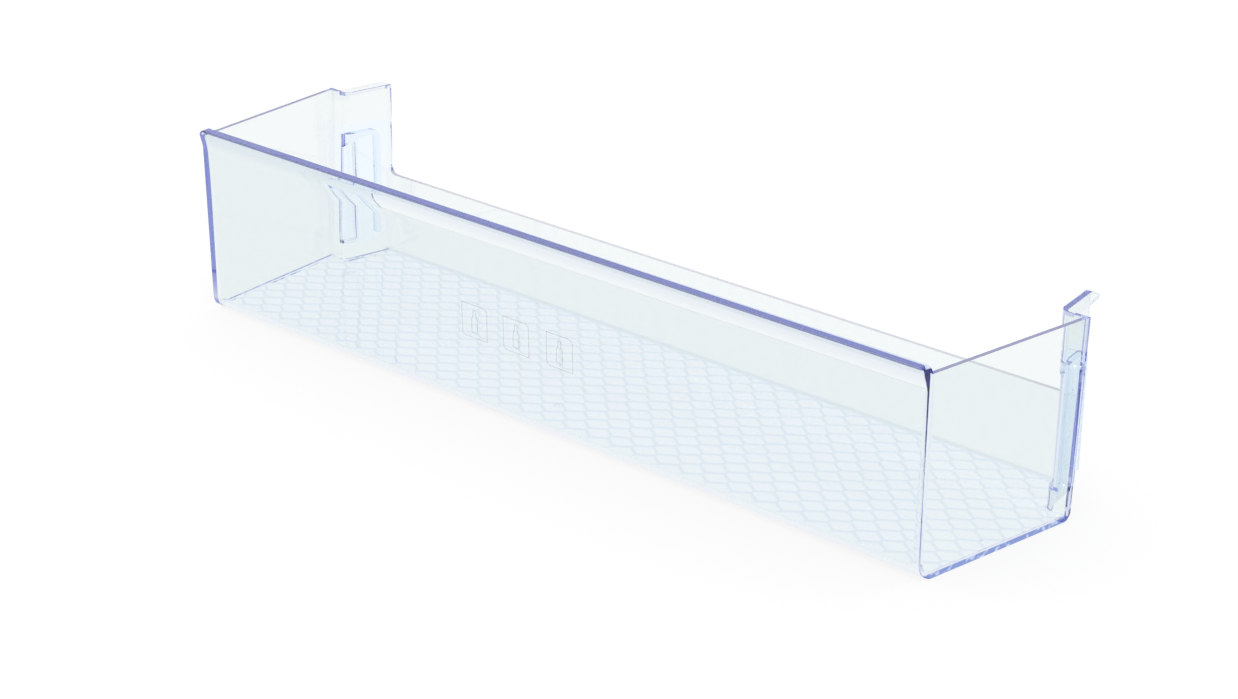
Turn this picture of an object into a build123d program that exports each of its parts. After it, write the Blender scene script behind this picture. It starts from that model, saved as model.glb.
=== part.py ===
"""Fridge door shelf: a clear tray moulded in one piece, hung between the lugs of a refrigerator door liner.

Millimetres. X runs along the door, the front wall faces -Y and Z is up. While it is being built, y = 0 is the
outer face of the front wall at the underside and z = 0 is the underside.
"""

import os
from math import hypot, radians, tan

from build123d import *

# Overall sizes, over the outer faces
LENGTH = 490.0  # across the rear top corners of the two end walls
DEPTH = 123.0  # front wall to back wall, at the underside
HEIGHT = 100.0  # underside to the top of the lip
EAR_DEPTH = 28.0  # from the step behind each end wall to the back wall, at the underside
STEP_WIDTH = 11.8  # how far each step goes in from the end wall to the ear
BACK_HEIGHT = 46.4
LIP_STAND = 3.4  # lip above the end walls
EAR_STAND = 0.3  # ears above the end walls

# Wall thicknesses
FRONT_WALL = 2.8
WALL = 2.3
FLOOR = 2.6

# Angles in degrees: in plan, and each wall's lean away from the tray
END_SPLAY = 7.1
EAR_TAPER = 9.9
FRONT_DRAFT = 0.9
END_DRAFT = 0.3
STEP_DRAFT = 2.3
EAR_DRAFT = 0.5
REAR_DRAFT = 1.0

# Bends and edges
FRONT_RADIUS = 8.0  # outside, along the bottom of the front wall
STEP_FOOT_RADIUS = 4.5  # outside, along the bottom of each step
STEP_BEND_RADIUS = 5.5  # tray side, where the step turns into the ear
NOTCH_RADIUS = 5.0  # where each ear comes down to the back wall

# Thickened lip along the front wall
LIP_RISE = 9.8
LIP_FLARE = 2.2
LIP_RIM = 2.9  # upright part at the top
LIP_FOOT_RADIUS = 25.0
LIP_BROW_RADIUS = 4.0
LIP_CORNER = 3.2
LIP_NOSE = 0.6

# Ledge on top of each ear
LEDGE_WIDTH = 4.6
LEDGE_THICKNESS = 2.3

# Lug pocket on the outside of each ear, open at its foot
POCKET_FOOT = 11.0  # of the leg beside the step
REAR_LEG_LIFT = 2.5
POCKET_TOP = 73.0
POCKET_PROUD = 3.8
POCKET_RIM = 2.6
POCKET_CORNER = 5.0
SLOT_WIDTH = 12.0
SLOT_SETBACK = 8.5  # from the step's outer face at the underside to the slot
SLOT_CORNER = 2.5
SLOT_MOUTH_RADIUS = 2.5
HOLLOW_SLOPE = 8.0  # how far the top of the hollow in the leg beside the step comes down
HOLLOW_CORNER = 1.5

# Honeycomb sunk into the tray side of the floor
CELL_PITCH = 14.7
ROW_PITCH = 7.3
CELL_SIDE = 2.6
CELL_DEPTH = 0.5
CELL_BOTTOM = 0.88  # width of a cell's bottom as a share of its mouth
RIDGE = 1.0
CELL_MARGIN = 1.2
SMALLEST_CELL = 0.3  # share of a whole cell

# Moulding gate in the underside
GATE_X = -8.5
GATE_Y = 30.5
GATE_DIAMETER = 5.0
GATE_DEPTH = 0.6

# Places and slopes that follow from these
step_depth = DEPTH - EAR_DEPTH
end_height = HEIGHT - LIP_STAND
ear_height = end_height + EAR_STAND
splay, taper = tan(radians(END_SPLAY)), tan(radians(EAR_TAPER))
front_slope, end_slope = tan(radians(FRONT_DRAFT)), tan(radians(END_DRAFT))
step_slope, ear_slope = tan(radians(STEP_DRAFT)), tan(radians(EAR_DRAFT))
rear_slope = tan(radians(REAR_DRAFT))


def front_y(z, inset=0.0):
    """Front wall's face at height z, moved inwards by inset."""
    return inset - front_slope * z


def step_y(z, inset=0.0):
    """Rear face of the steps at height z, moved inwards by inset."""
    return step_depth + step_slope * z - inset


def rear_y(z, inset=0.0):
    """Back wall's face at height z, moved inwards by inset."""
    return DEPTH + rear_slope * z - inset


half_front = LENGTH / 2 - splay * step_y(end_height) - end_slope * end_height


def end_x(y, z, inset=0.0):
    """End wall's face at depth y and height z, moved inwards by inset."""
    return half_front + splay * y + end_slope * z - inset * hypot(1, splay)


half_ear = end_x(step_depth, 0) - STEP_WIDTH


def ear_x(y, z, inset=0.0):
    """Ear's face at depth y and height z, moved inwards by inset."""
    return half_ear - taper * (y - step_depth) + ear_slope * z - inset * hypot(1, taper)


def plan_outline(z, inset=0.0, front_inset=0.0):
    """Corners of the tray's plan at height z, with the front and the other walls moved inwards."""
    front, step, rear = front_y(z, front_inset), step_y(z, inset), rear_y(z, inset)
    right = [
        (end_x(front, z, inset), front),
        (end_x(step, z, inset), step),
        (ear_x(step, z, inset), step),
        (ear_x(rear, z, inset), rear),
    ]
    left = [(-x, y) for x, y in reversed(right)]
    return right + left


def flat_face(*corners):
    """Flat face through the given corners."""
    return make_face(Polyline(*corners, close=True))


def drafted_block(corners_at, low, high):
    """Solid between two heights whose plan corners at height z are corners_at(z). Its sides are flat."""
    below = [(*corner, low) for corner in corners_at(low)]
    above = [(*corner, high) for corner in corners_at(high)]
    sides = [
        flat_face(below[i - 1], below[i], above[i], above[i - 1]).face() for i in range(len(below))
    ]
    return Solid(Shell([flat_face(*below).face(), *sides, flat_face(*above).face()]))


def edges_near(solid, *points):
    """The edge of a solid nearest to each point."""
    return [solid.edges().sort_by_distance(point)[0] for point in points]


def tray_body():
    """Outside of the tray as a full block, with its bottom bends."""
    body = drafted_block(plan_outline, 0, end_height)
    body = fillet(edges_near(body, (0, 0, 0)), FRONT_RADIUS)
    middle = end_height / 2
    bends = [(side * ear_x(step_y(middle), middle), step_y(middle), middle) for side in (1, -1)]
    body = fillet(edges_near(body, *bends), STEP_BEND_RADIUS - WALL)
    step_middle = (end_x(step_depth, 0) + ear_x(step_depth, 0)) / 2
    feet = [(side * step_middle, step_depth, 0) for side in (1, -1)]
    return fillet(edges_near(body, *feet), STEP_FOOT_RADIUS)


def tray_cavity():
    """Inside of the tray, running out through the top."""
    high = HEIGHT + WALL
    cavity = drafted_block(lambda z: plan_outline(z, WALL, FRONT_WALL), FLOOR, high)
    cavity = fillet(edges_near(cavity, (0, front_y(FLOOR, FRONT_WALL), FLOOR)), FRONT_RADIUS - FRONT_WALL)
    middle = (FLOOR + high) / 2
    bend_y = step_y(middle, WALL)
    bends = [(side * ear_x(bend_y, middle, WALL), bend_y, middle) for side in (1, -1)]
    return fillet(edges_near(cavity, *bends), STEP_BEND_RADIUS)


def front_lip():
    """Top of the front wall: its outer face swings forward to an upright rim with rounded ends."""
    foot, brow = HEIGHT - LIP_RISE, HEIGHT - LIP_RIM
    low, rim = foot - LIP_RISE, front_y(HEIGHT) - LIP_FLARE
    section = flat_face(
        (front_y(low), low),
        (front_y(foot), foot),
        (rim, brow),
        (rim, HEIGHT),
        (front_y(HEIGHT, FRONT_WALL), HEIGHT),
        (front_y(low, FRONT_WALL), low),
    )
    section = fillet(section.vertices().sort_by_distance((front_y(foot), foot))[0], LIP_FOOT_RADIUS)
    section = Plane.YZ * fillet(section.vertices().sort_by_distance((rim, brow))[0], LIP_BROW_RADIUS)
    bar = extrude(section, LENGTH, both=True)
    ahead, behind = rim - LIP_FLARE, 2 * FRONT_WALL

    def between_ends(z):
        return [
            (-end_x(ahead, z), ahead),
            (end_x(ahead, z), ahead),
            (end_x(behind, z), behind),
            (-end_x(behind, z), behind),
        ]

    lip = bar & drafted_block(between_ends, low - WALL, HEIGHT + WALL)
    top_edges = lip.faces().sort_by(Axis.Z)[-1].edges().sort_by(Axis.X)
    lip = fillet([top_edges[0], top_edges[-1]], LIP_CORNER)
    return fillet(edges_near(lip, (0, rim, HEIGHT)), LIP_NOSE)


def ear_top():
    """Top of the right ear, with a ledge that reaches outwards behind the step."""

    def out_to(reach):
        def corners(z):
            step, rear = step_y(z, WALL), rear_y(z)
            return [
                (ear_x(step, z, WALL), step),
                (ear_x(step, z, -reach), step),
                (ear_x(rear, z, -reach), rear),
                (ear_x(rear, z, WALL), rear),
            ]

        return corners

    wall = drafted_block(out_to(0), end_height - WALL, ear_height)
    return wall + drafted_block(out_to(LEDGE_WIDTH), ear_height - LEDGE_THICKNESS, ear_height)


def ear_plane():
    """Outer face of the right ear: x runs to the back from the step and y up from the underside."""
    foot = (ear_x(step_depth, 0), step_depth, 0)
    return Plane(origin=foot, x_dir=(-taper, 1, 0), z_dir=(1, taper, -ear_slope))


def lug_pocket():
    """Pad on the outside of the right ear with a slot, open at its foot, that slides down over a door lug."""
    slot_end = SLOT_SETBACK + SLOT_WIDTH
    slot_middle = SLOT_SETBACK + SLOT_WIDTH / 2
    pad_end = slot_end + POCKET_RIM
    rear_foot = POCKET_FOOT + REAR_LEG_LIFT
    pad = flat_face(
        (0, POCKET_FOOT),
        (slot_middle, POCKET_FOOT),
        (slot_middle, rear_foot),
        (pad_end, rear_foot),
        (pad_end, POCKET_TOP),
        (0, POCKET_TOP),
    )
    pad = fillet(pad.vertices().sort_by_distance((pad_end, POCKET_TOP))[0], POCKET_CORNER)
    slot_top = POCKET_TOP - POCKET_RIM
    slot = flat_face((SLOT_SETBACK, 0), (slot_end, 0), (slot_end, slot_top), (SLOT_SETBACK, slot_top))
    slot = fillet(slot.vertices().group_by(Axis.Y)[-1], SLOT_CORNER)
    rim = pad - slot
    rim = fillet(rim.vertices().sort_by_distance((SLOT_SETBACK, POCKET_FOOT))[0], SLOT_MOUTH_RADIUS)
    return extrude(ear_plane() * rim, POCKET_PROUD) + extrude(ear_plane() * pad, -WALL / 2)


def leg_hollow():
    """Hollow on the tray side that keeps the pocket's leg beside the right step as thin as the walls."""
    near, far = -2 * WALL, SLOT_SETBACK - WALL
    low, high = POCKET_FOOT + WALL, POCKET_TOP - WALL
    outline = flat_face((near, low), (far, low), (far, high), (near, high - HOLLOW_SLOPE))
    outline = fillet(outline.vertices().group_by(Axis.X)[-1], HOLLOW_CORNER)
    return extrude(ear_plane().offset(-3 * WALL) * outline, POCKET_PROUD + 2 * WALL)


def cell_outlines():
    """Honeycomb cells on the tray side of the floor, as flat faces, cut off along its edge."""
    point_y = ROW_PITCH - CELL_SIDE / 2
    right_side = [(0, -point_y), (CELL_PITCH / 2, -CELL_SIDE / 2), (CELL_PITCH / 2, CELL_SIDE / 2), (0, point_y)]
    left_side = [(-x, y) for x, y in reversed(right_side[1:-1])]
    cell = offset(flat_face(*right_side, *left_side), -RIDGE / 2, kind=Kind.INTERSECTION).face()
    inset = WALL + CELL_MARGIN
    front, step, rear = front_y(FLOOR, FRONT_RADIUS), step_y(FLOOR, inset), rear_y(FLOOR, inset)
    field = flat_face(*plan_outline(FLOOR, inset)) & Pos(0, front + DEPTH) * Rectangle(2 * LENGTH, 2 * DEPTH)

    def inside(corner):
        side = end_x if corner.Y < step else ear_x
        return front < corner.Y < rear and abs(corner.X) < side(corner.Y, FLOOR, inset)

    rows = int((rear - front) / ROW_PITCH) + 1
    columns = int(LENGTH / 2 / CELL_PITCH) + 1
    cells = []
    for row in range(rows):
        shift = CELL_PITCH / 2 if row % 2 == 0 else 0
        for column in range(-columns, columns + 1):
            whole = Pos(shift + column * CELL_PITCH, rear - point_y - row * ROW_PITCH) * cell
            corners_inside = [inside(corner) for corner in whole.vertices()]
            if all(corners_inside):
                cells.append(whole)
            elif any(corners_inside):
                cut = (whole & field).faces()
                cells += [part for part in cut if part.area > SMALLEST_CELL * cell.area]
    return [Pos(0, 0, FLOOR) * cell for cell in cells]


def with_honeycomb(shelf):
    """The shelf with its flat floor face swapped for one with a pocket at each honeycomb cell."""
    floor = shelf.faces().filter_by(Plane.XY).sort_by_distance((0, DEPTH / 2, FLOOR))[0]
    cells = cell_outlines()
    ridges = Face(floor.outer_wire(), [cell.outer_wire() for cell in cells])
    pockets = []
    for cell in cells:
        middle = cell.center()
        mouth = [edge @ 0 for edge in cell.outer_wire().order_edges()]
        bottom = [middle + (corner - middle) * CELL_BOTTOM - Vector(0, 0, CELL_DEPTH) for corner in mouth]
        pockets.append(flat_face(*bottom).face())
        for i in range(len(mouth)):
            pockets.append(flat_face(mouth[i - 1], mouth[i], bottom[i], bottom[i - 1]).face())
    others = [face for face in shelf.faces() if not face.is_same(floor)]
    return Solid(Shell([*others, ridges, *pockets]))


def door_shelf():
    """The whole shelf, with its origin under the middle of its box."""
    fittings = [ear_top(), lug_pocket()]
    outside = tray_body() + front_lip() + fittings + [mirror(piece, Plane.YZ) for piece in fittings]
    hollow = leg_hollow()
    shelf = outside - tray_cavity() - [hollow, mirror(hollow, Plane.YZ)]
    notch_half = ear_x(rear_y(BACK_HEIGHT), BACK_HEIGHT, WALL)
    notch_high = ear_height - BACK_HEIGHT
    notch = Rectangle(2 * notch_half, 2 * notch_high)
    notch = fillet(notch.vertices().group_by(Axis.Y)[0], NOTCH_RADIUS)
    notch_plane = Plane(origin=(0, rear_y(0), ear_height), x_dir=(1, 0, 0), z_dir=(0, -1, 0))
    shelf -= extrude(notch_plane * notch, 2 * WALL, both=True)
    shelf -= Pos(GATE_X, GATE_Y, GATE_DEPTH / 2) * Cylinder(GATE_DIAMETER / 2, GATE_DEPTH)
    shelf = with_honeycomb(shelf)
    box = shelf.bounding_box()
    return Pos(0, -box.center().Y, -box.min.Z) * shelf


os.makedirs("parts", exist_ok=True)
export_step(door_shelf(), "parts/door_shelf.step")
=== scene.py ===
"""Fridge door shelf moulded in clear, faintly blue plastic, standing on a white studio floor.

Metres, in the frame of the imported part: X along the door, the front wall at -Y, Z up. The named sizes and
places of the shelf are in millimetres.
"""

import math

import bmesh
import bpy
import numpy as np
from mathutils import Matrix, Vector


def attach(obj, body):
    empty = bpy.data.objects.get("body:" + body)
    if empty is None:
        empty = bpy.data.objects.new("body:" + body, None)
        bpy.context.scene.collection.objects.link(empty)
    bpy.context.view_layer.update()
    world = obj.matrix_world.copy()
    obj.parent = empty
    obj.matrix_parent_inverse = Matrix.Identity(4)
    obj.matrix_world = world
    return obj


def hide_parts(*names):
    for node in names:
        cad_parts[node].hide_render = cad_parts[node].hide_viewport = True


MM = 0.001

# Camera, worked out from the photograph's perspective: place in millimetres, turns in degrees
EYE = (857.99, -932.09, 548.66)
PAN, TILT, ROLL = 42.539, 22.503, 0.196
LENS, SENSOR = 81.61, 36.0
NEAREST, FARTHEST = 0.05, 50.0

# Soft lamp, in metres and watts
LAMP_PLACE = (-0.7, -1.1, 1.5)
LAMP_SIZE, LAMP_POWER = 1.2, 9.0

# Studio floor, in metres, and its own share of white when seen straight, mirrored or through plastic
STUDIO_HALF = 6.0
STUDIO_WHITE, STUDIO_GLOW = (0.9, 0.9, 0.9), 1.02
GLOW_STRAIGHT, GLOW_MIRRORED, GLOW_THROUGH = 0.85, 0.9, 0.95

# The studio floor touches the shelf's underside, and so takes the light that comes down inside the plastic
STUDIO_LEVEL = 0.02

# How often light is followed through the walls
BOUNCES, SHADOW_BOUNCES = 96, 32

# Clear plastic: tint of a wall, what a metre takes from red, green and blue, and what a lamp's light keeps
REFRACTION = 1.55
WALL_TINT = (0.924, 0.957, 0.938)
ABSORBED = (14.0, 12.5, 4.0)
LAMP_TINT = (0.95, 0.965, 0.98)

# The plastic's density is so many times its strongest absorption, so that it keeps a share of every colour
DENSITY_MARGIN = 1.2

# Fine waves and unevenness left in the plastic as it flowed into the mould
FLOW_SCALE, FLOW_ROUGHNESS = 9.0, 0.02
WAVE_STRENGTH, WAVE_DEPTH = 0.02, 0.01

# Floor and its honeycomb
FLOOR_TOP = 2.6
CELL_PITCH, ROW_PITCH, CELL_SIDE = 14.7, 7.3, 2.6
CELL_ROW_Y = 45.785
RIDGE_HALF, RIDGE_SOFTNESS = 0.45, 0.8
HONEYCOMB_LOW, HONEYCOMB_HIGH = FLOOR_TOP - 0.7, FLOOR_TOP + 0.01

# Flanks of the cells: how far they face up at least, and the share of their lean that the shading keeps
FLANK_FACING, FLANK_LEAN = 0.3, 0.1

# Painted shade, glints and greys on the plastic's floor, edges and wall tops, for light bent and guided
# inside it
CELL_PAINTED_SHADE = (0.86, 0.93, 0.98)
RIDGE_PAINTED_SHADE = (0.65, 0.765, 0.885)
END_PAINTED_SHADE, END_PAINTED_GLINT = (0.05, 0.1, 0.44), (0.3, 0.42, 0.78)
RIM_PAINTED_SHADE = (0.07, 0.08, 0.26)
FOOT_PAINTED_SHADE = (0.85, 0.9, 0.905)
POCKET_PAINTED_SHADE = (0.9, 0.965, 1.0)
SEAM_PAINTED_SHADE = (0.68, 0.77, 0.85)
# Painted greys on the wall tops, and the shares in which they are laid over the plastic
END_CREST_PAINTED_GREY, END_CREST_PAINT_SHARE = (0.36, 0.35, 0.46), 0.7
BACK_CREST_PAINTED_GREY, BACK_CREST_PAINT_SHARE = (0.7, 0.7, 0.72), 0.8
GLINT_SCALE, GLINT_STEP = 260.0, (0.52, 0.66)

# Places of the painted shade: a step has its start and end, and a band has a rising and a falling step
HONEYCOMB_STEP = (-52.0, -51.0)
FLOOR_BAND = ((FLOOR_TOP - 0.8, FLOOR_TOP - 0.7), (FLOOR_TOP, FLOOR_TOP + 0.1))
END_STEP, END_TOP = (225.0, 226.0), (FLOOR_TOP - 0.3, FLOOR_TOP + 0.5)
RIM_STEP = (98.85, 99.25)
FOOT_STEP = (89.0, 96.0)
POCKET_OUT, POCKET_BACK = (226.0, 227.0), (34.0, 36.0)
POCKET_BAND = ((9.0, 11.0), (76.0, 80.0))
SEAM_ACROSS = ((58.2, 59.7), (61.0, 61.2))
SEAM_UP = ((FLOOR_TOP - 0.9, FLOOR_TOP - 0.8), (FLOOR_TOP + 0.6, FLOOR_TOP + 2.0))
CREST_STEP = (20.0, 25.0)
END_CREST_BAND = ((-56.0, -55.0), (32.0, 34.0))
BACK_CREST_STEP, BACK_CREST_END = (55.0, 57.0), (224.0, 226.0)

# How far a surface faces along an axis where painted shade starts or ends, from -1 to 1
UPWARD_STEP, LEVEL_STEP, SIDEWAYS_STEP = (0.2, 0.3), (0.5, 0.7), (0.6, 0.8)
RIM_FACING, FOOT_FACING = (-0.2, -0.1), (-0.6, -0.5)

# Mesh of the moulding: joining distance, bends that stay flat or turn sharp in degrees, large faces' weight
JOIN = 0.002
FLAT_BEND, SHARP_BEND, SHARP_FLANK = 0.4, 26.0, 60.0
LARGE_FACES = 100

# Front corners: how far each is cut back, and the least rise, turn in radians and place of its upright edge
OUTER_CORNER, INNER_CORNER = 5.0, 3.5
CORNER_SEGMENTS, CORNER_ROUND = 6, 0.5
CORNER_RISE, CORNER_TURN = 60.0, 1.0
CORNER_X, CORNER_Y = 215.0, -55.0

# Signs on the front wall, whose outside stands at a foot and leans out by a share of the height
WALL_FOOT, WALL_LEAN = -60.46, 0.01571
SIGN_PLACES = (-35.0, -7.2, 21.2)
SIGN_HEIGHT, SIGN_SIZE = 46.8, 16.8
SIGN_ROUNDING, ROUNDING_POINTS = 2.6, 8
SIGN_LINE = 0.35
SIGN_DEPTH, SIGN_STAND = 0.02, 0.05
SIGN_DARK, SIGN_PALE, SIGN_ALPHA = (0.36, 0.38, 0.4), (0.5, 0.52, 0.53), 0.22
SIGN_ROUGHNESS, WEAR_ROUGHNESS = 0.35, 0.2
WEAR_SCALE, WEAR_DETAIL = 400.0, 2.0

# Outline of a plain bottle from its middle: half widths of body and neck, and heights from foot to mouth
BODY_HALF, NECK_HALF = 1.9, 0.9
BOTTLE_FOOT, BOTTLE_SHOULDER, NECK_FOOT, BOTTLE_MOUTH = -5.8, 1.2, 3.0, 5.8


class Shade:
    """A socket of one shader tree. Arithmetic on it adds Math nodes, and node() adds any other node."""

    def __init__(self, tree, socket=None):
        self.tree, self.socket = tree, socket

    def node(self, kind, settings=None, sockets=None, out=0):
        """New node of a kind, with its settings set first and then its sockets' values or links."""
        node = self.tree.nodes.new(kind)
        for name, value in (settings or {}).items():
            setattr(node, name, value)
        for name, value in (sockets or {}).items():
            if isinstance(value, Shade):
                self.tree.links.new(value.socket, node.inputs[name])
            else:
                node.inputs[name].default_value = value
        return Shade(self.tree, node.outputs[out] if len(node.outputs) else None)

    def math(self, operation, *values):
        return self.node("ShaderNodeMath", {"operation": operation}, dict(enumerate(values)))

    def ramp(self, low, high):
        """Smooth step from 0 at low to 1 at high."""
        return self.node(
            "ShaderNodeMapRange",
            {"interpolation_type": "SMOOTHSTEP"},
            {"Value": self, "From Min": low, "From Max": high},
        )

    def within(self, rise, fall):
        """1 between a rising and a falling smooth step, and 0 outside them."""
        return self.ramp(*rise) * (1 - self.ramp(*fall))

    def mix(self, share, other):
        """This colour turned into another one by a share."""
        sockets = {0: share, 6: self, 7: other}
        return self.node("ShaderNodeMix", {"data_type": "RGBA"}, sockets, out=2)

    def colour(self, rgb):
        node = self.node("ShaderNodeRGB")
        node.socket.default_value = (*rgb, 1)
        return node

    def __add__(self, other):
        return self.math("ADD", self, other)

    def __sub__(self, other):
        return self.math("SUBTRACT", self, other)

    def __rsub__(self, other):
        return self.math("SUBTRACT", other, self)

    def __mul__(self, other):
        return self.math("MULTIPLY", self, other)

    def __abs__(self):
        return self.math("ABSOLUTE", self)

    __radd__, __rmul__ = __add__, __mul__


def new_material(name):
    """Empty material and the start of its shader tree."""
    material = bpy.data.materials.new(name)
    material.use_nodes = True
    material.node_tree.nodes.clear()
    return material, Shade(material.node_tree)


def millimetres(shade, axis):
    """Place of the shaded point along an axis, in millimetres."""
    place = shade.node("ShaderNodeTexCoord", out="Object")
    return shade.node("ShaderNodeSeparateXYZ", sockets={0: place}, out=axis) * (1 / MM)


def facing(shade, axis):
    """How far the surface faces along an axis, from -1 to 1."""
    normal = shade.node("ShaderNodeNewGeometry", out="True Normal")
    return shade.node("ShaderNodeSeparateXYZ", sockets={0: normal}, out=axis)


def unevenness(shade, scale, detail=1.0):
    """Soft random pattern from 0 to 1, finer for a larger scale."""
    place = shade.node("ShaderNodeTexCoord", out="Object")
    return shade.node("ShaderNodeTexNoise", sockets={"Vector": place, "Scale": scale, "Detail": detail})


def ridge_shade_share(shade):
    """1 along the honeycomb's ridges, where painted shade stands for the light they bend, and 0 inside its
    cells and in front of it.

    The cells lie in two grids, each in the gaps of the other. In a grid, a point is across and along from
    the nearest cell's middle, and its margin is the smaller of its distances to the cell's upright and
    slanted sides. The margin of the cell that holds the point is the larger of the two grids' margins.
    """
    x, y = millimetres(shade, "X"), millimetres(shade, "Y")
    half_pitch, rise = CELL_PITCH / 2, ROW_PITCH - CELL_SIDE
    slant = math.hypot(half_pitch, rise)
    reach = half_pitch * (ROW_PITCH - CELL_SIDE / 2) / slant

    def margin(across, along):
        to_slanted = reach - (across * (rise / slant) + along * (half_pitch / slant))
        return shade.math("MINIMUM", half_pitch - across, to_slanted)

    across = shade.math("PINGPONG", x, half_pitch)
    along = shade.math("PINGPONG", y - CELL_ROW_Y, ROW_PITCH)
    inside = shade.math("MAXIMUM", margin(across, along), margin(half_pitch - across, ROW_PITCH - along))
    ridge = 1 - inside.ramp(RIDGE_HALF, RIDGE_HALF + RIDGE_SOFTNESS)
    return ridge * y.ramp(*HONEYCOMB_STEP)


def floor_shade_share(shade):
    """1 on the top of the shelf's floor, down to the bottoms of its cells, and 0 elsewhere: where shade is
    painted for light passing through the floor.
    """
    return millimetres(shade, "Z").within(*FLOOR_BAND) * facing(shade, "Z").ramp(*UPWARD_STEP)


def end_shade_share(shade):
    """1 on the ends of the floor's plate, low on the outside of the end walls, and 0 elsewhere: where shade
    and glints are painted for light guided along the plate.
    """
    outside = abs(millimetres(shade, "X")).ramp(*END_STEP) * abs(facing(shade, "X")).ramp(*SIDEWAYS_STEP)
    return outside * (1 - millimetres(shade, "Z").ramp(*END_TOP))


def rim_shade_share(shade):
    """1 on the outside of the lip's rim, up into its rounded top, and 0 elsewhere: where shade is painted
    for light guided up the wall.
    """
    outside = 1 - facing(shade, "Y").ramp(*RIM_FACING)
    return outside * millimetres(shade, "Z").ramp(*RIM_STEP)


def foot_shade_share(shade):
    """0 at the foot of the lip's outward curve, rising to 1 under its rim, on the outside only: painted
    shade over the light the curve bends.
    """
    outside = 1 - facing(shade, "Y").ramp(*FOOT_FACING)
    return outside * millimetres(shade, "Z").ramp(*FOOT_STEP)


def pocket_shade_share(shade):
    """1 on the ears around their lug pockets, and 0 elsewhere: where bluish shade is painted for light
    passing several layers.
    """
    on_ear = abs(millimetres(shade, "X")).ramp(*POCKET_OUT) * millimetres(shade, "Y").ramp(*POCKET_BACK)
    return on_ear * millimetres(shade, "Z").within(*POCKET_BAND)


def seam_shade_share(shade):
    """1 along the inside corner between the floor and the back wall, fading over a millimetre or so: painted
    shade in the corner.
    """
    return millimetres(shade, "Y").within(*SEAM_ACROSS) * millimetres(shade, "Z").within(*SEAM_UP)


def crest_share(shade):
    """1 on the level faces above the shelf's floor, and 0 elsewhere."""
    return facing(shade, "Z").ramp(*LEVEL_STEP) * millimetres(shade, "Z").ramp(*CREST_STEP)


def end_crest_paint_share(shade):
    """1 on the top edges of the end walls, and 0 on the lip, the ears and elsewhere: where painted grey
    stands for their light and shade.
    """
    return crest_share(shade) * millimetres(shade, "Y").within(*END_CREST_BAND)


def back_crest_paint_share(shade):
    """1 on the top edge of the back wall, and 0 elsewhere: where painted grey stands for its light and
    shade.
    """
    between_ears = 1 - abs(millimetres(shade, "X")).ramp(*BACK_CREST_END)
    return crest_share(shade) * millimetres(shade, "Y").ramp(*BACK_CREST_STEP) * between_ears


def tint_and_painted_shade(shade):
    """Colour of the plastic's surface: a wall's own tint, turned into painted shade on the floor and on each
    kind of edge.
    """
    floor = shade.colour(CELL_PAINTED_SHADE).mix(ridge_shade_share(shade), shade.colour(RIDGE_PAINTED_SHADE))
    tint = shade.colour(WALL_TINT).mix(floor_shade_share(shade), floor)
    # Painted shade on the pockets, the back seam, the lip's foot and its rim
    edges = (
        (pocket_shade_share, POCKET_PAINTED_SHADE),
        (seam_shade_share, SEAM_PAINTED_SHADE),
        (foot_shade_share, FOOT_PAINTED_SHADE),
        (rim_shade_share, RIM_PAINTED_SHADE),
    )
    for share, edge_shade in edges:
        tint = tint.mix(share(shade), shade.colour(edge_shade))
    # Painted shade with painted glints on the ends of the floor's plate
    glints = unevenness(shade, GLINT_SCALE).ramp(*GLINT_STEP)
    return tint.mix(end_shade_share(shade), shade.colour(END_PAINTED_SHADE).mix(glints, shade.colour(END_PAINTED_GLINT)))


def clear_plastic():
    """Clear moulded plastic: it bends light, and takes more red and green than blue from it along the way.

    Its floor and edges carry painted shade and glints, the top edges of its walls lit grey layers whose grey
    is painted light and shade, and a lamp's light goes straight through it.
    """
    material, shade = new_material("clear_plastic")
    flow = unevenness(shade, FLOW_SCALE)
    waves = {"Strength": WAVE_STRENGTH, "Distance": WAVE_DEPTH, "Height": flow}
    surface = shade.node(
        "ShaderNodeBsdfPrincipled",
        sockets={
            "Base Color": tint_and_painted_shade(shade),
            "Roughness": flow * FLOW_ROUGHNESS,
            "IOR": REFRACTION,
            "Transmission Weight": 1.0,
            "Normal": shade.node("ShaderNodeBump", sockets=waves),
        },
    )
    # Lit grey layers on the wall tops, their grey painted to stand for light and shade
    crests = (
        (end_crest_paint_share, END_CREST_PAINTED_GREY, END_CREST_PAINT_SHARE),
        (back_crest_paint_share, BACK_CREST_PAINTED_GREY, BACK_CREST_PAINT_SHARE),
    )
    for share, grey, strength in crests:
        painted_grey = shade.node("ShaderNodeBsdfDiffuse", sockets={"Color": (*grey, 1)})
        sides = {0: share(shade) * strength, 1: surface, 2: painted_grey}
        surface = shade.node("ShaderNodeMixShader", sockets=sides)
    from_lamp = shade.node("ShaderNodeLightPath", out="Is Shadow Ray")
    lamp_passes = shade.node("ShaderNodeBsdfTransparent", sockets={"Color": (*LAMP_TINT, 1)})
    surface = shade.node("ShaderNodeMixShader", sockets={0: from_lamp, 1: surface, 2: lamp_passes})
    density = DENSITY_MARGIN * max(ABSORBED)
    kept = [1 - part / density for part in ABSORBED]
    inside = shade.node("ShaderNodeVolumeAbsorption", sockets={"Color": (*kept, 1), "Density": density})
    shade.node("ShaderNodeOutputMaterial", sockets={"Surface": surface, "Volume": inside})
    return material


def new_piece(name, mesh, material):
    """Object of a mesh with a material, linked into the scene."""
    mesh.materials.append(material)
    piece = bpy.data.objects.new(name, mesh)
    bpy.context.scene.collection.objects.link(piece)
    return piece


def at_front_corner(edge):
    """True for a long upright edge of the moulding where the front wall meets an end wall."""
    ends = [vert.co / MM for vert in edge.verts]
    upright = abs(ends[0].z - ends[1].z) > CORNER_RISE and edge.calc_face_angle() > CORNER_TURN
    return upright and all(abs(end.x) > CORNER_X and end.y < CORNER_Y for end in ends)


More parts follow.
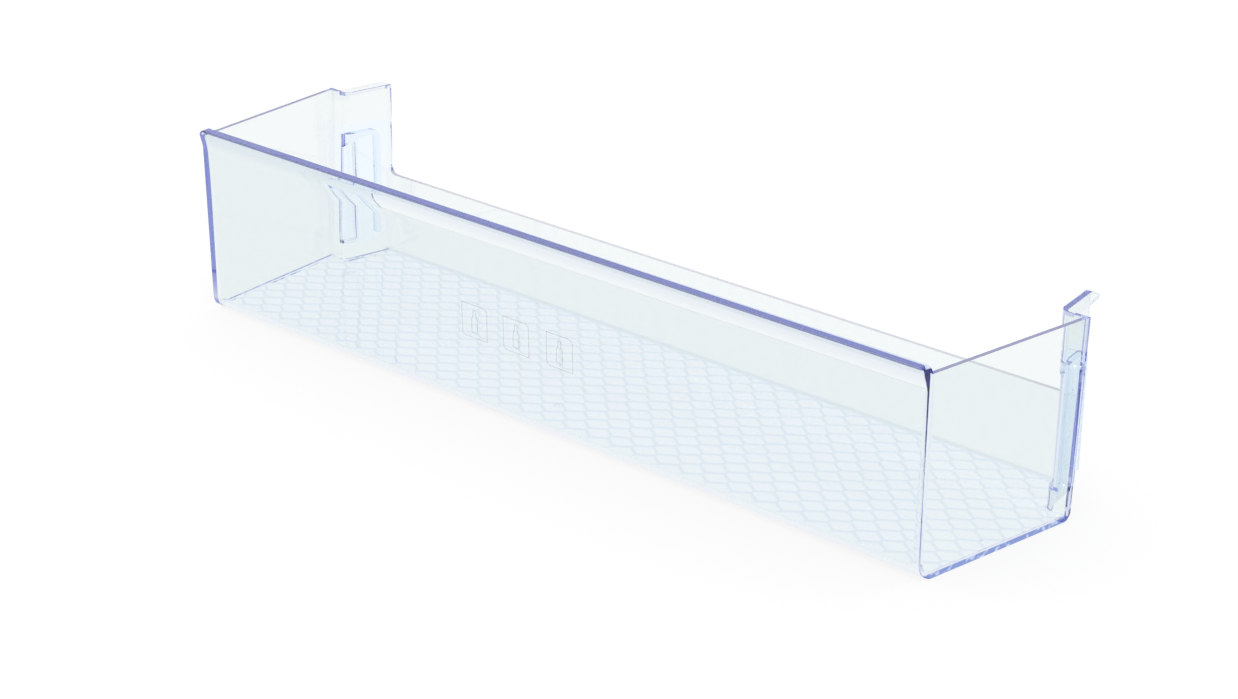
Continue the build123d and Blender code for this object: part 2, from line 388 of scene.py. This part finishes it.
def moulding(cad_node, material):
    """The CAD solid's own surface, with triangles joined, front corners rounded and bends smooth."""
    bm = bmesh.new()
    bm.from_mesh(cad_node.data)
    bmesh.ops.remove_doubles(bm, verts=bm.verts, dist=JOIN * MM)
    bmesh.ops.dissolve_limit(bm, angle_limit=math.radians(FLAT_BEND), verts=bm.verts, edges=bm.edges)
    for cut, outer in ((OUTER_CORNER, True), (INNER_CORNER, False)):
        bmesh.ops.bevel(
            bm,
            geom=[edge for edge in bm.edges if at_front_corner(edge) and edge.is_convex == outer],
            offset=cut * MM,
            segments=CORNER_SEGMENTS,
            profile=CORNER_ROUND,
            affect="EDGES",
            clamp_overlap=False,
        )
    for face in bm.faces:
        face.smooth = True
    for edge in bm.edges:
        on_floor = all(HONEYCOMB_LOW < vert.co.z / MM < HONEYCOMB_HIGH for vert in edge.verts)
        sharp = math.radians(SHARP_FLANK if on_floor else SHARP_BEND)
        edge.smooth = len(edge.link_faces) == 2 and edge.calc_face_angle() < sharp
    mesh = bpy.data.meshes.new("clear_moulding")
    bm.to_mesh(mesh)
    bm.free()
    piece = new_piece("clear_moulding", mesh, material)
    flat_sides = piece.modifiers.new("flat_sides", "WEIGHTED_NORMAL")
    flat_sides.mode, flat_sides.weight, flat_sides.keep_sharp = "FACE_AREA", LARGE_FACES, True
    ease_honeycomb(piece)
    return piece


def ease_honeycomb(piece):
    """Fixes the piece's shading normals, with those of the honeycomb's flanks leaned towards upright.

    A face's corner between the cells' bottoms and the floor's top keeps a small share of its own normal, and
    the rest is upright.
    """
    seen = piece.evaluated_get(bpy.context.evaluated_depsgraph_get())
    mesh = bpy.data.meshes.new_from_object(seen)
    normals = np.empty(3 * len(mesh.loops), np.float32)
    mesh.corner_normals.foreach_get("vector", normals)
    normals = normals.reshape(-1, 3)
    places = np.empty(3 * len(mesh.vertices), np.float32)
    mesh.vertices.foreach_get("co", places)
    owners = np.empty(len(mesh.loops), np.int32)
    mesh.loops.foreach_get("vertex_index", owners)
    height = places.reshape(-1, 3)[owners, 2] / MM
    flank = (height > HONEYCOMB_LOW) & (height < HONEYCOMB_HIGH) & (normals[:, 2] > FLANK_FACING)
    normals[flank] = FLANK_LEAN * normals[flank] + (1 - FLANK_LEAN) * np.array([0, 0, 1])
    normals /= np.linalg.norm(normals, axis=1, keepdims=True)
    mesh.normals_split_custom_set(normals)
    piece.modifiers.clear()
    piece.data = mesh


def sign_grey():
    """Faint grey of the marks pressed onto the front wall, a little uneven."""
    material, shade = new_material("sign_grey")
    wear = unevenness(shade, WEAR_SCALE, WEAR_DETAIL)
    surface = shade.node(
        "ShaderNodeBsdfPrincipled",
        sockets={
            "Base Color": shade.colour(SIGN_DARK).mix(wear, shade.colour(SIGN_PALE)),
            "Roughness": SIGN_ROUGHNESS + wear * WEAR_ROUGHNESS,
            "Alpha": SIGN_ALPHA,
        },
    )
    shade.node("ShaderNodeOutputMaterial", sockets={"Surface": surface})
    return material


def sign_frame():
    """Outline of a sign's frame: a square with two opposite corners sharp and two quarter circles."""
    half, turn = SIGN_SIZE / 2, np.linspace(0, np.pi / 2, ROUNDING_POINTS)
    middle = half - SIGN_ROUNDING
    arc = np.stack([middle + SIGN_ROUNDING * np.cos(turn), middle + SIGN_ROUNDING * np.sin(turn)], axis=1)
    return np.concatenate([[(half, -half)], arc, [(-half, half)], -arc])


def bottle():
    """Outline of a plain bottle: up its right side from foot to mouth, and down the mirrored side."""
    right = np.array(
        [
            (BODY_HALF, BOTTLE_FOOT),
            (BODY_HALF, BOTTLE_SHOULDER),
            (NECK_HALF, NECK_FOOT),
            (NECK_HALF, BOTTLE_MOUTH),
        ]
    )
    return np.concatenate([right, right[::-1] * (-1, 1)])


def line_strip(outline, centre):
    """Vertices and faces of a thin closed line on the front wall, along an outline around a centre.

    At each point of the outline the line's two sides lie half its width along the mitre of the two next
    stretches. Each side has a point under the wall's face and one proud of it. Height goes up the wall,
    which leans out by a share of the height.
    """
    ahead = np.roll(outline, -1, axis=0) - outline
    ahead /= np.linalg.norm(ahead, axis=1, keepdims=True)
    normal = np.stack([ahead[:, 1], -ahead[:, 0]], axis=1)
    before = np.roll(normal, 1, axis=0)
    mitre = (normal + before) / (1 + (normal * before).sum(1, keepdims=True))
    sides = np.array([-0.5, 0.5, 0.5, -0.5]) * SIGN_LINE
    stand = np.array([-SIGN_DEPTH, -SIGN_DEPTH, SIGN_STAND, SIGN_STAND])
    flat = outline[:, None] + mitre[:, None] * sides[:, None] + np.array([centre, SIGN_HEIGHT])
    across, height = flat[..., 0], flat[..., 1]
    depth = WALL_FOOT - WALL_LEAN * height - stand
    points = np.stack([across, depth, height], axis=-1).reshape(-1, 3) * MM
    ring, side = np.meshgrid(np.arange(len(outline)), np.arange(len(sides)), indexing="ij")
    next_ring, next_side = (ring + 1) % len(outline), (side + 1) % len(sides)
    corners = ((ring, side), (next_ring, side), (next_ring, next_side), (ring, next_side))
    faces = np.stack([along * len(sides) + around for along, around in corners], axis=-1)
    return points, faces.reshape(-1, len(corners))


def signs(material):
    """One piece with three signs in a row on the front wall, each a frame round a plain bottle."""
    outlines = (sign_frame(), bottle())
    strips = [line_strip(outline, centre) for centre in SIGN_PLACES for outline in outlines]
    starts = np.cumsum([0] + [len(points) for points, _ in strips[:-1]])
    points = np.concatenate([points for points, _ in strips])
    faces = np.concatenate([faces + start for (_, faces), start in zip(strips, starts)])
    mesh = bpy.data.meshes.new("bottle_signs")
    mesh.from_pydata(points.tolist(), [], faces.tolist())
    bm = bmesh.new()
    bm.from_mesh(mesh)
    bmesh.ops.recalc_face_normals(bm, faces=bm.faces)
    bm.to_mesh(mesh)
    bm.free()
    return new_piece("bottle_signs", mesh, material)


def studio_lamp():
    """Large soft lamp up in front, to the left."""
    data = bpy.data.lights.new("soft_lamp", "AREA")
    data.energy, data.size = LAMP_POWER, LAMP_SIZE
    lamp = bpy.data.objects.new("soft_lamp", data)
    place = Vector(LAMP_PLACE)
    lamp.matrix_world = Matrix.Translation(place) @ (-place).to_track_quat("-Z", "Y").to_matrix().to_4x4()
    bpy.context.scene.collection.objects.link(lamp)


def studio_white():
    """White of the studio floor: lit and shaded in part, and for the rest white by itself."""
    material, shade = new_material("floor_white")
    straight = shade.node("ShaderNodeLightPath", out="Is Camera Ray")
    mirrored = shade.node("ShaderNodeLightPath", out="Is Glossy Ray")
    through = shade.node("ShaderNodeLightPath", out="Is Transmission Ray")
    share = straight * GLOW_STRAIGHT + mirrored * GLOW_MIRRORED + through * GLOW_THROUGH
    lit = shade.node("ShaderNodeBsdfDiffuse", sockets={"Color": (*STUDIO_WHITE, 1)})
    glow = shade.node("ShaderNodeEmission", sockets={"Color": (1, 1, 1, 1), "Strength": STUDIO_GLOW})
    surface = shade.node("ShaderNodeMixShader", sockets={0: share, 1: lit, 2: glow})
    shade.node("ShaderNodeOutputMaterial", sockets={"Surface": surface})
    return material


def studio_floor():
    """Wide white floor at the shelf's underside, which takes its shadow: one square around the origin."""
    square = ((-1, -1), (1, -1), (1, 1), (-1, 1))
    corners = [(x * STUDIO_HALF, y * STUDIO_HALF, STUDIO_LEVEL * MM) for x, y in square]
    mesh = bpy.data.meshes.new("studio_floor")
    mesh.from_pydata(corners, [], [(0, 1, 2, 3)])
    new_piece("studio_floor", mesh, studio_white())


def studio_world():
    """White all round."""
    world = bpy.data.worlds.new("studio_world")
    world.use_nodes = True
    world.node_tree.nodes.clear()
    shade = Shade(world.node_tree)
    sky = shade.node("ShaderNodeBackground", sockets={"Color": (1, 1, 1, 1), "Strength": 1.0})
    shade.node("ShaderNodeOutputWorld", sockets={"Surface": sky})
    bpy.context.scene.world = world


def studio_camera():
    """Camera at the photograph's place, looking down along its turned and tilted axis."""
    pan, tilt, roll = (math.radians(angle) for angle in (PAN, TILT, ROLL))
    ahead = Vector((-math.sin(pan) * math.cos(tilt), math.cos(pan) * math.cos(tilt), -math.sin(tilt)))
    level = Vector((math.cos(pan), math.sin(pan), 0))
    upright = level.cross(ahead)
    right = level * math.cos(roll) + upright * math.sin(roll)
    up = upright * math.cos(roll) - level * math.sin(roll)
    turn = Matrix((right, up, -ahead)).transposed()
    data = bpy.data.cameras.new("studio_camera")
    data.sensor_fit, data.sensor_width, data.lens = "HORIZONTAL", SENSOR, LENS
    data.clip_start, data.clip_end = NEAREST, FARTHEST
    camera = bpy.data.objects.new("studio_camera", data)
    camera.matrix_world = Matrix.Translation(Vector(EYE) * MM) @ turn.to_4x4()
    bpy.context.scene.collection.objects.link(camera)
    bpy.context.scene.camera = camera


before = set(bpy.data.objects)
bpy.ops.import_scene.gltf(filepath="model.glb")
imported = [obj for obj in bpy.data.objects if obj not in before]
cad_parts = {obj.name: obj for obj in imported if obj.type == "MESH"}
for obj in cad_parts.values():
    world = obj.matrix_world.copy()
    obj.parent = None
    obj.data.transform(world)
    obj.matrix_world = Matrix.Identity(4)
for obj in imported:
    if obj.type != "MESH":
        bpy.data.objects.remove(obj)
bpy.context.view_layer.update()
shelf = moulding(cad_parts["door_shelf"], clear_plastic())
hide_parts("door_shelf")
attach(shelf, "root")
marks = signs(sign_grey())
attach(marks, "root")
studio_lamp()
studio_floor()
studio_world()
studio_camera()

scene = bpy.context.scene
scene.view_settings.view_transform = "Standard"
scene.cycles.max_bounces = scene.cycles.glossy_bounces = scene.cycles.transmission_bounces = BOUNCES
scene.cycles.transparent_max_bounces = SHADOW_BOUNCES
scene.cycles.caustics_reflective = scene.cycles.caustics_refractive = False
